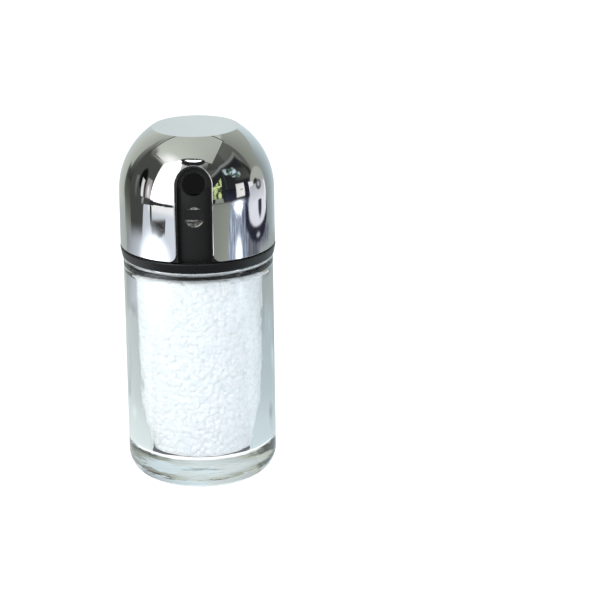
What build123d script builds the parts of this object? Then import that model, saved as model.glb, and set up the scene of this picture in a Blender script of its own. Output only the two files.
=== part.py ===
from build123d import *
import os
from math import asin, cos, degrees, sin, sqrt

# A table shaker: a thick glass jar, a black screw head with two pouring ports,
# and a bright dome with one window that turns over the ports.
# Millimetres, +Z up, origin at the middle of the jar's foot, window towards -Y.

# ---- jar ----
jar_radius = 25.0
jar_height = 77.0              # foot to shoulder
heel_radius = 9.0              # round between foot and wall
shoulder_radius = 0.8
foot_recess_radius = 12.0
foot_recess_depth = 0.8
floor_thickness = 10.0
heel_wall = 6.8                # wall where the hollow meets its floor
belly_wall = 4.6               # wall at the belly line
belly_height = 24.0
top_wall = 3.5                 # wall just under the shoulder
hollow_heel_radius = 4.0
hollow_belly_radius = 80.0
hollow_shoulder_radius = 3.0
hollow_shoulder_drop = 3.5     # slope from the body's hollow up to the neck's bore
neck_height = 12.0
neck_wall = 2.5
neck_root_radius = 0.8
rim_radius = 0.7

# ---- salt ----
salt_gap = 0.2                 # between the grains and the glass
salt_height = 79.0

# ---- thread between jar and collar ----
thread_pitch = 4.2
thread_turns = 1.25
thread_depth = 0.95            # how far the glass ridge stands out
thread_clearance = 0.45        # glass ridge to the collar's wall
thread_root_width = 2.0
thread_crest_width = 1.0
ridge_clearance = 0.35         # collar ridge to the glass neck
ridge_root_width = 2.2
ridge_crest_width = 1.4
thread_start = 4.2             # first ridge above the shoulder
thread_bite = 0.25             # how far a ridge runs into its own wall

# ---- head ----
dome_radius = 25.8
dome_straight = 18.25          # straight wall under the round top
dome_rise = 21.4               # from the end of the straight wall to the flat top
shell_wall = 0.6
liner_wall = 2.1
turn_gap = 0.3                 # dome liner to port drum
seam_gap = 0.35                # dome's lower edge to the collar's flange
flange_lip = 0.2               # flange stands out past the dome
flange_height = 3.5
flange_draft = 0.7             # flange narrows by this much towards the jar
flange_edge = 0.4
shoulder_gap = 0.5             # flange to glass shoulder
drum_wall = 1.8
skirt_fit = 0.05               # collar skirt inside the drum
skirt_wall = 1.0
lip_height = 1.5
lip_setback = 1.5              # lip's inner edge outside the jar's bore
gasket_height = 1.2
gasket_margin = 0.3
snap_bead_radius = 0.5
snap_bead_drop = 4.0           # bead below the top of the skirt
snap_stand_out = 0.25

# ---- window, ports and thumb rest ----
window_width = 12.1
window_corner = 2.6
frame_width = 0.6              # black edge of the liner inside the bright window
port_rise = 25.75              # port's middle above the dome's lower edge
wide_port_radius = 3.75
fine_port_radius = 2.0
port_bevel = 0.4
rest_drop = 10.8               # thumb rest's middle below the wide port's
rest_radius = 3.55
rest_depth = 1.0
rest_taper = 30
ledge_setback = 0.35           # ledges lie this far behind the drum's face
bar_low = -1.0                 # heights on the thumb rest, from its middle
bar_high = 3.2
bar_slope = 0.8
rib_low = -1.75
rib_high = -1.1
rib_slope = 0.5
ramp_low = -3.5
ramp_high = -2.0
ramp_slope = 1.4

# ---- pivot under the crown ----
boss_radius = 4.0
bearing_clearance = 0.05
hub_radius = 7.0
hub_height = 2.2
boss_overrun = 0.8             # boss stands out below the hub
thrust_pad_radius = 6.0
screw_radius = 1.4
screw_fit = 0.05
screw_length = 5.2
screw_head_radius = 2.8
screw_head_height = 1.6
screw_cross_width = 0.7
screw_cross_length = 3.4
screw_cross_depth = 0.9
washer_radius = 6.0
washer_height = 0.6
spring_gauge = 0.25
spring_clearance = 0.05

# ---- heights that follow ----
flange_bottom = jar_height + shoulder_gap
flange_top = flange_bottom + flange_height
dome_bottom = flange_top + seam_gap
dome_shoulder = dome_bottom + dome_straight
dome_top = dome_shoulder + dome_rise
rim_height = jar_height + neck_height
gasket_top = rim_height + gasket_height
lip_top = gasket_top + lip_height
port_height = dome_bottom + port_rise
rest_height = port_height - rest_drop
bead_height = lip_top - snap_bead_drop

# ---- radii that follow ----
liner_radius = dome_radius - shell_wall
race_radius = liner_radius - liner_wall
drum_radius = race_radius - turn_gap
drum_bore = drum_radius - drum_wall
skirt_radius = drum_bore - skirt_fit
collar_bore = skirt_radius - skirt_wall
neck_crest = collar_bore - thread_clearance
neck_radius = neck_crest - thread_depth
neck_bore = neck_radius - neck_wall
ridge_crest = neck_radius + ridge_clearance
lip_bore = neck_bore + lip_setback
flange_radius = dome_radius + flange_lip

# ---- crown levels that follow ----
liner_top = dome_top - shell_wall
race_top = liner_top - liner_wall
drum_top = race_top - turn_gap
crown_underside = drum_top - drum_wall
hub_bottom = crown_underside - hub_height
boss_bottom = hub_bottom - boss_overrun
washer_bottom = boss_bottom - washer_height
spring_bore = boss_radius + bearing_clearance + skirt_fit


def dome_section(radius, bottom, top):
    """Half section of a round-topped drum: straight wall, round shoulder, flat top."""
    rise = top - dome_shoulder
    with BuildSketch() as section:
        with BuildLine():
            base = Line((0, bottom), (radius, bottom))
            wall = Line(base @ 1, (radius, dome_shoulder))
            crown = CenterArc((0, dome_shoulder), radius, 0, degrees(asin(rise / radius)))
            flat = Line(crown @ 1, (0, top))
            Line(flat @ 1, base @ 0)
        make_face()
    return section.sketch


def window_outline(width, corner):
    """Arched opening, open at the foot, where its corners sweep outwards."""
    half = width / 2
    foot = dome_bottom - seam_gap
    with BuildSketch() as outline:
        with Locations((0, port_height)):
            Circle(half)
        with Locations((0, (port_height + foot) / 2)):
            Rectangle(width, port_height - foot)
        if corner:
            with Locations((0, (dome_bottom + corner + foot) / 2)):
                Rectangle(width + 2 * corner, dome_bottom + corner - foot)
            with Locations((half + corner, dome_bottom + corner), (-half - corner, dome_bottom + corner)):
                Circle(corner, mode=Mode.SUBTRACT)
    return outline.sketch


def hollow_outline(inset, top):
    """Half section of the jar's hollow up to a height, drawn in from the glass by the inset."""
    bore = neck_bore - inset
    belly = jar_radius - belly_wall - inset
    body_top = jar_radius - top_wall - inset
    heel = jar_radius - heel_wall - inset
    floor = floor_thickness + inset
    with BuildSketch() as outline:
        with BuildLine():
            wall = FilletPolyline(
                (0, floor),
                (heel, floor),
                (belly, belly_height),
                (body_top, jar_height - hollow_shoulder_drop - inset),
                (bore, jar_height - inset),
                (bore, top),
                radius=[
                    hollow_heel_radius,
                    hollow_belly_radius,
                    hollow_shoulder_radius,
                    hollow_shoulder_radius,
                ],
            )
            lid = Line(wall @ 1, (0, top))
            Line(lid @ 1, wall @ 0)
        make_face()
    return outline.sketch


def thread_ridge(root_radius, crest_radius, root_width, crest_width, start):
    """One helical ridge of trapezium section, root sunk a little into its wall."""
    outward = 1 if crest_radius > root_radius else -1
    path = Helix(thread_pitch, thread_pitch * thread_turns, root_radius, center=(0, 0, start))
    with BuildPart() as ridge:
        with BuildSketch(Plane(origin=path @ 0, x_dir=(1, 0, 0), z_dir=path % 0)):
            with BuildLine():
                Polyline(
                    (-thread_bite * outward, -root_width / 2),
                    (crest_radius - root_radius, -crest_width / 2),
                    (crest_radius - root_radius, crest_width / 2),
                    (-thread_bite * outward, root_width / 2),
                    close=True,
                )
            make_face()
        sweep(path=path, is_frenet=True)
    return ridge.part


def port_plane(azimuth):
    """Plane that touches the drum's round shoulder at port height, facing out."""
    tilt = asin((port_height - dome_shoulder) / drum_radius)
    outward = Vector(0, -cos(tilt), sin(tilt)).rotate(Axis.Z, azimuth)
    return Plane(origin=Vector(0, 0, dome_shoulder) + outward * drum_radius, z_dir=outward)


def rest_ledge(low, high, slope):
    """Ledge across the thumb rest with a flat front and an upper side that slopes back to the floor."""
    front = ledge_setback - drum_radius
    floor = rest_depth - drum_radius
    with BuildPart() as ledge:
        with BuildSketch(Plane.YZ):
            with BuildLine():
                Polyline(
                    (front, rest_height + low),
                    (front, rest_height + high - slope),
                    (floor, rest_height + high),
                    (floor + ledge_setback, rest_height + high),
                    (floor + ledge_setback, rest_height + low),
                    close=True,
                )
            make_face()
        extrude(amount=rest_radius, both=True)
        with BuildSketch(Plane.XZ):
            with Locations((0, rest_height)):
                Circle(rest_radius)
        extrude(amount=drum_radius, mode=Mode.INTERSECT)
    return ledge.part


os.makedirs("parts", exist_ok=True)

# glass jar with its moulded thread
jar_thread = thread_ridge(
    neck_radius, neck_crest, thread_root_width, thread_crest_width, jar_height + thread_start
)
with BuildPart() as glass_jar:
    with BuildSketch(Plane.XZ) as jar_section:
        with BuildLine():
            outside = FilletPolyline(
                (0, 0),
                (jar_radius, 0),
                (jar_radius, jar_height),
                (neck_radius, jar_height),
                (neck_radius, rim_height),
                radius=[heel_radius, shoulder_radius, neck_root_radius],
            )
            rim = Line(outside @ 1, (0, rim_height))
            Line(rim @ 1, outside @ 0)
        make_face()
        add(hollow_outline(0, rim_height), mode=Mode.SUBTRACT)
        rim_corners = jar_section.vertices().group_by(Axis.Y)[-1]
        fillet(rim_corners, radius=rim_radius)
    revolve(axis=Axis.Z)
    with BuildSketch(Plane.XZ):
        with BuildLine():
            arch = ThreePointArc(
                (-foot_recess_radius, 0), (0, foot_recess_depth), (foot_recess_radius, 0)
            )
            Line(arch @ 1, arch @ 0)
        make_face()
        split(bisect_by=Plane.YZ)
    revolve(axis=Axis.Z, mode=Mode.SUBTRACT)
    add(jar_thread)
glass_jar.part.label = "glass_jar"
export_step(glass_jar.part, "parts/glass_jar.step")

# salt that fills the jar up into the neck
with BuildPart() as salt_fill:
    with BuildSketch(Plane.XZ):
        add(hollow_outline(salt_gap, salt_height))
    revolve(axis=Axis.Z)
salt_fill.part.label = "salt_fill"
export_step(salt_fill.part, "parts/salt_fill.step")

# flat sealing ring between the glass rim and the collar's lip
with BuildPart() as neck_gasket:
    with BuildSketch(Plane.XY.offset(rim_height)):
        Circle(collar_bore - gasket_margin)
        Circle(neck_bore + gasket_margin, mode=Mode.SUBTRACT)
    extrude(amount=gasket_height)
neck_gasket.part.label = "neck_gasket"
export_step(neck_gasket.part, "parts/neck_gasket.step")

# threaded collar with the visible black flange
collar_thread = thread_ridge(
    collar_bore, ridge_crest, ridge_root_width, ridge_crest_width,
    jar_height + thread_start - thread_pitch / 2,
)
with BuildPart() as screw_collar:
    with BuildSketch(Plane.XZ):
        with BuildLine():
            Polyline(
                (collar_bore, flange_bottom),
                (flange_radius - flange_draft, flange_bottom),
                (flange_radius, flange_top),
                (skirt_radius, flange_top),
                (skirt_radius, lip_top),
                (lip_bore, lip_top),
                (lip_bore, gasket_top),
                (collar_bore, gasket_top),
                close=True,
            )
        make_face()
        with Locations((skirt_radius - snap_bead_radius + snap_stand_out, bead_height)):
            Circle(snap_bead_radius)
    revolve(axis=Axis.Z)
    flange_edges = screw_collar.edges().filter_by(GeomType.CIRCLE)
    outer_edges = flange_edges.filter_by(lambda e: e.radius > drum_radius)
    fillet(outer_edges, radius=flange_edge)
    add(collar_thread)
screw_collar.part.label = "screw_collar"
export_step(screw_collar.part, "parts/screw_collar.step")

# black drum that carries the ports: wide one in front, fine one behind
rest_ledges = [
    rest_ledge(bar_low, bar_high, bar_slope),
    rest_ledge(rib_low, rib_high, rib_slope),
    rest_ledge(ramp_low, ramp_high, ramp_slope),
]
with BuildPart() as port_drum:
    with BuildSketch(Plane.XZ):
        add(dome_section(drum_radius, flange_top, drum_top))
        add(dome_section(drum_bore, flange_top, crown_underside), mode=Mode.SUBTRACT)
        with Locations((drum_bore - snap_bead_radius + snap_stand_out + skirt_fit, bead_height)):
            Circle(snap_bead_radius, mode=Mode.SUBTRACT)
    revolve(axis=Axis.Z)
    with BuildSketch(Plane.XY.offset(hub_bottom)):
        Circle(hub_radius)
    extrude(amount=hub_height + drum_wall / 2)
    with BuildSketch(Plane.XY.offset(hub_bottom)):
        Circle(boss_radius + bearing_clearance)
    extrude(amount=drum_top - hub_bottom, mode=Mode.SUBTRACT)
    for azimuth, radius in ((0, wide_port_radius), (180, fine_port_radius)):
        sag = drum_radius - sqrt(drum_radius**2 - radius**2)
        with BuildSketch(port_plane(azimuth)):
            Circle(radius)
        extrude(amount=-2 * drum_wall, mode=Mode.SUBTRACT)
        with BuildSketch(port_plane(azimuth)):
            Circle(radius + sag + port_bevel)
        extrude(amount=-sag - port_bevel, taper=45, mode=Mode.SUBTRACT)
    with BuildSketch(Plane.XZ.offset(drum_radius)):
        with Locations((0, rest_height)):
            Circle(rest_radius)
    extrude(amount=-rest_depth, taper=rest_taper, mode=Mode.SUBTRACT)
    for ledge in rest_ledges:
        add(ledge)
port_drum.part.label = "port_drum"
export_step(port_drum.part, "parts/port_drum.step")

# black liner that carries the bright shell and turns on the drum
with BuildPart() as dome_liner:
    with BuildSketch(Plane.XZ):
        add(dome_section(liner_radius, dome_bottom, liner_top))
        add(dome_section(race_radius, dome_bottom, race_top), mode=Mode.SUBTRACT)
    revolve(axis=Axis.Z)
    with BuildSketch(Plane.XZ):
        add(window_outline(window_width - 2 * frame_width, 0))
    extrude(amount=dome_radius, mode=Mode.SUBTRACT)
    with BuildSketch(Plane.XY.offset(drum_top)):
        Circle(thrust_pad_radius)
    extrude(amount=turn_gap)
    with BuildSketch(Plane.XY.offset(boss_bottom)):
        Circle(boss_radius)
    extrude(amount=race_top - boss_bottom)
    with BuildSketch(Plane.XY.offset(boss_bottom)):
        Circle(screw_radius + screw_fit)
    extrude(amount=screw_length, mode=Mode.SUBTRACT)
dome_liner.part.label = "dome_liner"
export_step(dome_liner.part, "parts/dome_liner.step")

# self-tapping screw up into the liner's boss
with BuildPart() as pivot_screw:
    with BuildSketch(Plane.XY.offset(washer_bottom - screw_head_height)):
        Circle(screw_head_radius)
    extrude(amount=screw_head_height)
    fillet(pivot_screw.faces().sort_by(Axis.Z)[0].edges(), radius=screw_head_height / 2)
    with BuildSketch(Plane.XY.offset(washer_bottom)):
        Circle(screw_radius)
    extrude(amount=washer_height + screw_length - screw_radius)
    with BuildSketch(Plane.XY.offset(boss_bottom + screw_length - screw_radius)):
        Circle(screw_radius)
    extrude(amount=screw_radius / 2, taper=45)
    with BuildSketch(Plane.XY.offset(washer_bottom - screw_head_height)):
        Rectangle(screw_cross_length, screw_cross_width)
        Rectangle(screw_cross_width, screw_cross_length)
    extrude(amount=screw_cross_depth, mode=Mode.SUBTRACT)
pivot_screw.part.label = "pivot_screw"
export_step(pivot_screw.part, "parts/pivot_screw.step")

# flat washer clamped between the screw's head and the boss
with BuildPart() as pivot_washer:
    with BuildSketch(Plane.XY.offset(washer_bottom)):
        Circle(washer_radius)
        Circle(screw_radius + screw_fit, mode=Mode.SUBTRACT)
    extrude(amount=washer_height)
pivot_washer.part.label = "pivot_washer"
export_step(pivot_washer.part, "parts/pivot_washer.step")

# coned spring washer round the boss, between the flat washer and the drum's hub
with BuildPart() as cone_spring:
    with BuildSketch(Plane.XZ):
        with BuildLine():
            Polyline(
                (spring_bore, hub_bottom - spring_clearance - spring_gauge),
                (spring_bore, hub_bottom - spring_clearance),
                (washer_radius, boss_bottom + spring_gauge),
                (washer_radius, boss_bottom),
                close=True,
            )
        make_face()
    revolve(axis=Axis.Z)
cone_spring.part.label = "cone_spring"
export_step(cone_spring.part, "parts/cone_spring.step")

# bright pressed shell over the liner
with BuildPart() as dome_shell:
    with BuildSketch(Plane.XZ):
        add(dome_section(dome_radius, dome_bottom, dome_top))
        add(dome_section(liner_radius, dome_bottom, liner_top), mode=Mode.SUBTRACT)
    revolve(axis=Axis.Z)
    with BuildSketch(Plane.XZ):
        add(window_outline(window_width, window_corner))
    extrude(amount=dome_radius + shell_wall, mode=Mode.SUBTRACT)
dome_shell.part.label = "dome_shell"
export_step(dome_shell.part, "parts/dome_shell.step")
print("overall height", dome_top)
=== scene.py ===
"""Dresses a packed salt shaker: glass jar, coarse salt, black screw head and bright turning dome.

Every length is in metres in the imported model's own frame: +Z up, foot on z = 0, window towards -Y.
"""
from math import ceil, pi, radians, sin, tan

import bpy
import numpy as np
from bpy.props import FloatProperty, FloatVectorProperty, IntProperty, PointerProperty
from bpy.types import Operator, Panel, PropertyGroup
from mathutils import Matrix, Vector


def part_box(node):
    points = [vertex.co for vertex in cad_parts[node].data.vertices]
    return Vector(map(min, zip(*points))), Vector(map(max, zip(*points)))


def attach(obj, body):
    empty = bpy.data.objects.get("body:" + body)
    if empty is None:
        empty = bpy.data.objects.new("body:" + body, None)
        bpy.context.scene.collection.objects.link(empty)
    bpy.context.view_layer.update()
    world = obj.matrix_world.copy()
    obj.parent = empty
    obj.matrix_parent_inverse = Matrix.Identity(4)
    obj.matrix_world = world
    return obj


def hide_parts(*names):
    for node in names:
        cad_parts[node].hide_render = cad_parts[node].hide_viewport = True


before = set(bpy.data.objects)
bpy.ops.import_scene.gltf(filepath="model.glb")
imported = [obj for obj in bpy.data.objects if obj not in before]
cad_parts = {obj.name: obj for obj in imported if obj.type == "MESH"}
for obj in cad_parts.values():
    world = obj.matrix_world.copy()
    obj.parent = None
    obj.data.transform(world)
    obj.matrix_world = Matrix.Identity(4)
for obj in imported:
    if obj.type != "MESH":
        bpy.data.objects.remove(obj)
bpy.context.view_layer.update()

bl_info = {
    "name": "Turning-dome salt shaker",
    "version": (1, 0, 0),
    "blender": (4, 5, 0),
    "location": "3D View > Sidebar > Shaker",
    "description": "Glass jar, coarse salt, black head and bright dome for a packed salt shaker",
    "category": "Object",
}

MM = 0.001

# Sizes that the imported model's parts give.
jar_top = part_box("glass_jar")[1]
salt_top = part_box("salt_fill")[1]
collar_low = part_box("screw_collar")[0]
shell_low, shell_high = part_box("dome_shell")


# ---- properties

def amount(name, description, value, **kind):
    """A number; kind may give its unit and subtype."""
    return FloatProperty(name=name, description=description, default=value, **kind)


def length(name, description, value):
    """A length in metres."""
    return amount(name, description, value, unit="LENGTH", subtype="DISTANCE", precision=5)


def angle(name, description, value):
    """An angle in radians."""
    return amount(name, description, value, subtype="ANGLE")


def divisions(description, value):
    """How many parts a surface is divided into."""
    return IntProperty(name="Divisions", description=description, default=value)


def colour(name, description, value):
    """A linear colour."""
    return FloatVectorProperty(name=name, description=description, default=value, size=3, subtype="COLOR")


class JarSizes(PropertyGroup):
    """Section of the glass."""

    radius: length("Radius", "Outside of the jar", jar_top.x)
    rim: length("Rim", "Top of the neck", jar_top.z)
    shoulder: length("Shoulder", "Height of the shoulder", collar_low.z - 0.5 * MM)
    heel: length("Heel", "Round between foot and wall", 9.0 * MM)
    shoulder_round: length("Shoulder round", "Round between wall and shoulder", 0.8 * MM)
    recess: length("Foot recess", "Radius of the hollow under the foot", 12.0 * MM)
    recess_depth: length("Recess depth", "Depth of the hollow under the foot", 0.8 * MM)
    neck: length("Neck", "Outside of the neck", 18.55 * MM)
    neck_root: length("Neck root", "Round between shoulder and neck", 0.8 * MM)
    rim_round: length("Rim round", "Round on the neck's rim", 0.7 * MM)
    bore: length("Bore", "Inside of the neck", 16.05 * MM)
    top_radius: length("Top hollow", "Hollow's radius under the shoulder", 21.5 * MM)
    top_drop: length("Top drop", "Slope between hollow and bore", 3.5 * MM)
    belly_radius: length("Belly hollow", "Hollow's radius at the belly", 20.4 * MM)
    belly_height: length("Belly height", "Height of the belly line", 24.0 * MM)
    floor_radius: length("Floor hollow", "Hollow's radius at its floor", 18.2 * MM)
    floor: length("Floor", "Thickness of the glass under the salt", 10.0 * MM)
    inner_heel: length("Inner heel", "Round between the hollow's floor and wall", 4.0 * MM)
    inner_belly: length("Inner belly", "Round at the belly line", 80.0 * MM)
    inner_shoulder: length("Inner shoulder", "Rounds under the shoulder", 3.0 * MM)
    thread_start: length("Thread start", "First ridge above the shoulder", 4.2 * MM)
    thread_pitch: length("Thread pitch", "Rise of the ridge in one turn", 4.2 * MM)
    thread_depth: length("Thread depth", "How far the ridge stands out", 0.95 * MM)
    thread_root: length("Thread root", "Width of the ridge at its root", 2.0 * MM)
    thread_crest: length("Thread crest", "Width of the ridge at its crest", 1.0 * MM)
    thread_turns: amount("Thread turns", "Turns of the ridge", 1.25)
    around: divisions("Divisions around the jar", 224)


class SaltSizes(PropertyGroup):
    """Coarse grains behind the glass."""

    top: length("Top", "Height of the salt", salt_top.z)
    gap: length("Gap", "Between the outermost grains and the glass", 0.2 * MM)
    grain: length("Grain", "Distance between neighbouring crystals", 1.5 * MM)
    flat: length("Flat", "Half width of a crystal's flat face", 0.5 * MM)
    settle: length("Settle", "How far some crystals lie behind others", 0.3 * MM)
    valley: length("Valley", "Deepest gap between crystals", 0.6 * MM)
    step: length("Step", "Distance between the surface's points", 0.36 * MM)
    tilt: amount("Tilt", "Steepest slope of a crystal's face", 0.17)
    bevel: amount("Bevel", "Fall beside the flat face, per metre", 1200.0)


class DomeSizes(PropertyGroup):
    """Bright shell with its arched window."""

    radius: length("Radius", "Outside of the dome", shell_high.x)
    low: length("Lower edge", "Height of the lower edge", shell_low.z)
    top: length("Flat top", "Height of the flat top", shell_high.z)
    straight: length("Straight wall", "Wall under the round top", 18.25 * MM)
    wall: length("Wall", "Thickness of the shell", 0.58 * MM)
    crest: length("Crest round", "Round at the edge of the flat top", 0.35 * MM)
    window: length("Window width", "Width of the arched window", 12.1 * MM)
    arch: length("Arch centre", "Centre of the arch above the lower edge", 25.75 * MM)
    corner: length("Foot corner", "Flare at the window's foot", 2.6 * MM)
    lip: length("Lip", "Width of the rounded lip round the window", 0.25 * MM)
    around: divisions("Divisions around the dome", 200)


class HeadSizes(PropertyGroup):
    """Places on the black head where its finish changes: ledge dust that is partly a painted highlight, and a
    painted glow in the chamber.
    """

    rest_height: length("Rest height", "Height of the thumb rest's middle", 96.3 * MM)
    rest_radius: length("Rest radius", "Radius of the thumb rest", 3.6 * MM)
    chamber: length("Chamber", "Radius of the dim hollow behind the ports", 21.9 * MM)


class Finishes(PropertyGroup):
    """Colours of the materials, linear."""

    glass: colour("Glass", "Tint of the clear glass", (0.975, 0.988, 0.988))
    salt: colour("Salt", "Colour of a lit crystal", (0.94, 0.945, 0.955))
    # Painted shade: this bluish grey colours dull crystals and the shade painted into the gaps between chips.
    dull_and_shaded_salt: colour("Salt shade", "Colour of a dull crystal", (0.66, 0.75, 0.86))
    bright: colour("Bright plating", "Colour of the plated dome", (0.87, 0.875, 0.88))
    black: colour("Black plastic", "Colour of the moulded head", (0.0085, 0.0088, 0.0095))
    dust: colour("Dust", "Colour of fine dust", (0.35, 0.34, 0.32))
    # Painted glow: the drum's hollow behind the ports emits this colour, standing for dim light scattered
    # there.
    chamber: colour("Chamber", "Dim light scattered inside the drum", (0.008, 0.008, 0.0085))
    seal: colour("Seal", "Colour of the sealing ring", (0.62, 0.62, 0.58))
    steel: colour("Steel", "Colour of the pivot parts", (0.55, 0.55, 0.56))


class StudioSettings(PropertyGroup):
    """Floor, light, cards and camera."""

    sky: amount("Sky", "Strength of the even light all round", 0.85)
    key: amount("Key", "Power of the left lamp", 8.4, unit="POWER")
    fill: amount("Fill", "Power of the right lamp", 2.7, unit="POWER")
    top: amount("Top", "Power of the upper lamp", 2.0, unit="POWER")
    floor: colour("Floor", "Colour of the pale floor", (0.80, 0.80, 0.80))
    floor_glow: amount("Floor white", "Floor's white that no shadow takes", 0.72, subtype="FACTOR")
    floor_shaded: amount("Floor grey", "Floor's grey that shadows take", 0.42, subtype="FACTOR")
    card_radius: length("Card distance", "Distance of the first card from the dome", 0.24)
    card_step: length("Card step", "How much nearer each later card stands", 0.4 * MM)
    card_centre: length("Card centre", "Height that the cards stand round", 0.10)
    card_lift: length("Card lift", "Height of the first card over the floor", 0.2 * MM)
    card_rise: length("Card rise", "How much higher each later card lies", 0.02 * MM)
    card_rows: divisions("Divisions up a card, a quarter of those across it", 20)
    camera: FloatVectorProperty(
        name="Camera", description="Place of the camera", default=(0.03385, -0.9286, 0.3597), unit="LENGTH"
    )
    orbit: angle("Orbit", "Camera's turn about the shaker", radians(0.6))
    pitch: angle("Pitch", "Camera's dip below level", radians(17.88))
    roll: angle("Roll", "Camera's turn about its line of sight", -0.013)
    lens: amount("Lens", "Focal length in millimetres", 174.0, unit="CAMERA")


# ---- meshes

def unit(vectors):
    """Vectors scaled to a length of 1."""
    return vectors / np.linalg.norm(vectors, axis=-1, keepdims=True)


def make_piece(name, points, normals, faces):
    """Smooth mesh from points, outward normals and groups of faces, which are wound to agree with them."""
    wound = []
    for group in faces:
        group = np.array(group)
        first, second, third, last = (points[group[:, k]] for k in (0, 1, 2, -1))
        facing = np.cross(second - first, third - first) + np.cross(third - first, last - first)
        inward = (facing * normals[group].mean(axis=1)).sum(axis=1) < 0
        group[inward] = group[inward][:, ::-1]
        wound.extend(group.tolist())
    mesh = bpy.data.meshes.new(name)
    mesh.from_pydata(points.tolist(), [], wound)
    mesh.polygons.foreach_set("use_smooth", np.ones(len(wound), bool))
    mesh.normals_split_custom_set_from_vertices(unit(normals).tolist())
    mesh.update()
    piece = bpy.data.objects.new(name, mesh)
    bpy.context.scene.collection.objects.link(piece)
    return piece


def grid_faces(numbers, closed=True):
    """Quads between the rows of a grid of vertex numbers, joined round if closed."""
    beside = np.roll(numbers, -1, axis=1)
    if not closed:
        numbers, beside = numbers[:, :-1], beside[:, :-1]
    return np.stack([numbers[:-1], beside[:-1], beside[1:], numbers[1:]], axis=-1).reshape(-1, 4)


def fan_faces(pole, ring):
    """Triangles from a pole to a closed ring of vertex numbers."""
    return np.stack([np.full(len(ring), pole), ring, np.roll(ring, -1)], axis=1)


def compass(turn):
    """Directions at angles from the first axis."""
    return np.stack([np.cos(turn), np.sin(turn)], -1)


def steps_to(start, end, count):
    """Evenly spaced values after the start, up to the end."""
    return np.linspace(start, end, count + 1)[1:]


def rounded_outline(corners, rounds, arc_step, run_steps):
    """Points and right-hand normals along straight runs joined by tangent arcs.

    Each arc starts round / tan(half the corner's angle) before its corner, and its centre lies
    round / sin(half the angle) away from the corner on the bisector.
    """
    corners = [np.array(corner, float) for corner in corners]
    points, normals = [], []
    start, taken = corners[0], 0
    for before, corner, after, radius, step in zip(corners, corners[1:], corners[2:], rounds, run_steps):
        back, ahead = unit(before - corner), unit(after - corner)
        half = 0.5 * np.arccos(np.clip(back @ ahead, -1, 1))
        turn = 1 if back[0] * ahead[1] < back[1] * ahead[0] else -1
        centre = corner + unit(back + ahead) * radius / sin(half)
        enter = corner + back * radius / tan(half)
        facing = np.array([-back[1], back[0]])
        count = max(2, ceil(np.linalg.norm(enter - start) / step))
        share = np.linspace(0, 1, count, endpoint=False)[taken:, None]
        points.append(start + (enter - start) * share)
        normals.append(np.tile(facing, (len(share), 1)))
        bend = pi - 2 * half
        along, across = compass(turn * np.linspace(0, bend, max(3, ceil(bend * radius / arc_step)) + 1)).T
        turned = np.stack([along, -across, across, along], -1).reshape(-1, 2, 2)
        points.append(centre + turned @ (enter - centre))
        normals.append(turned @ facing)
        start, taken = corner + ahead * radius / tan(half), 1
    run = corners[-1] - start
    count = max(2, ceil(np.linalg.norm(run) / run_steps[-1]))
    points.append(start + run * steps_to(0, 1, count)[:, None])
    normals.append(np.tile(unit(run)[::-1] * [1, -1], (count, 1)))
    return np.concatenate(points), np.concatenate(normals)


def hollow_corners(jar, inset):
    """Corners of the jar's hollow from its floor up to the bore, drawn in from the glass by the inset."""
    return [
        (0, jar.floor + inset),
        (jar.floor_radius - inset, jar.floor + inset),
        (jar.belly_radius - inset, jar.belly_height),
        (jar.top_radius - inset, jar.shoulder - jar.top_drop - inset),
        (jar.bore - inset, jar.shoulder - inset),
    ]


def thread_ridge(jar, height, azimuth):
    """How far the screw ridge stands out: a rounded trapezium across, faded in and out along its helix."""
    fade_turns = 0.06
    ridge = np.zeros(np.broadcast(height, azimuth).shape)
    for lap in range(ceil(jar.thread_turns)):
        along = azimuth / (2 * pi) + lap
        across = np.abs(height - jar.shoulder - jar.thread_start - jar.thread_pitch * along)
        flank = np.clip((jar.thread_root - 2 * across) / (jar.thread_root - jar.thread_crest), 0, 1)
        ends = np.clip(np.minimum(along, jar.thread_turns - along) / fade_turns, 0, 1)
        ridge = np.maximum(ridge, flank**2 * (3 - 2 * flank) * ends)
    return jar.thread_depth * ridge


def revolved(outline, facing, azimuth):
    """Points and normals of a half section turned about the axis; the rows may share their azimuths."""
    azimuth = np.broadcast_to(azimuth, (len(outline), azimuth.shape[-1]))
    grids = []
    for section in (outline, facing):
        out, up = section[:, :1], np.broadcast_to(section[:, 1:], azimuth.shape)
        grids.append(np.stack([out * np.cos(azimuth), out * np.sin(azimuth), up], -1))
    return grids


def capped(points, normals, low_pole, high_pole):
    """One list of vertices and the faces of a grid closed by a pole at each end."""
    numbers = np.arange(points[..., 0].size).reshape(points.shape[:2])
    poles = numbers.size
    vertices = np.concatenate([points.reshape(-1, 3), [low_pole[0], high_pole[0]]])
    facing = np.concatenate([normals.reshape(-1, 3), [low_pole[1], high_pole[1]]])
    faces = [grid_faces(numbers), fan_faces(poles, numbers[0]), fan_faces(poles + 1, numbers[-1])]
    return vertices, facing, faces


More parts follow.
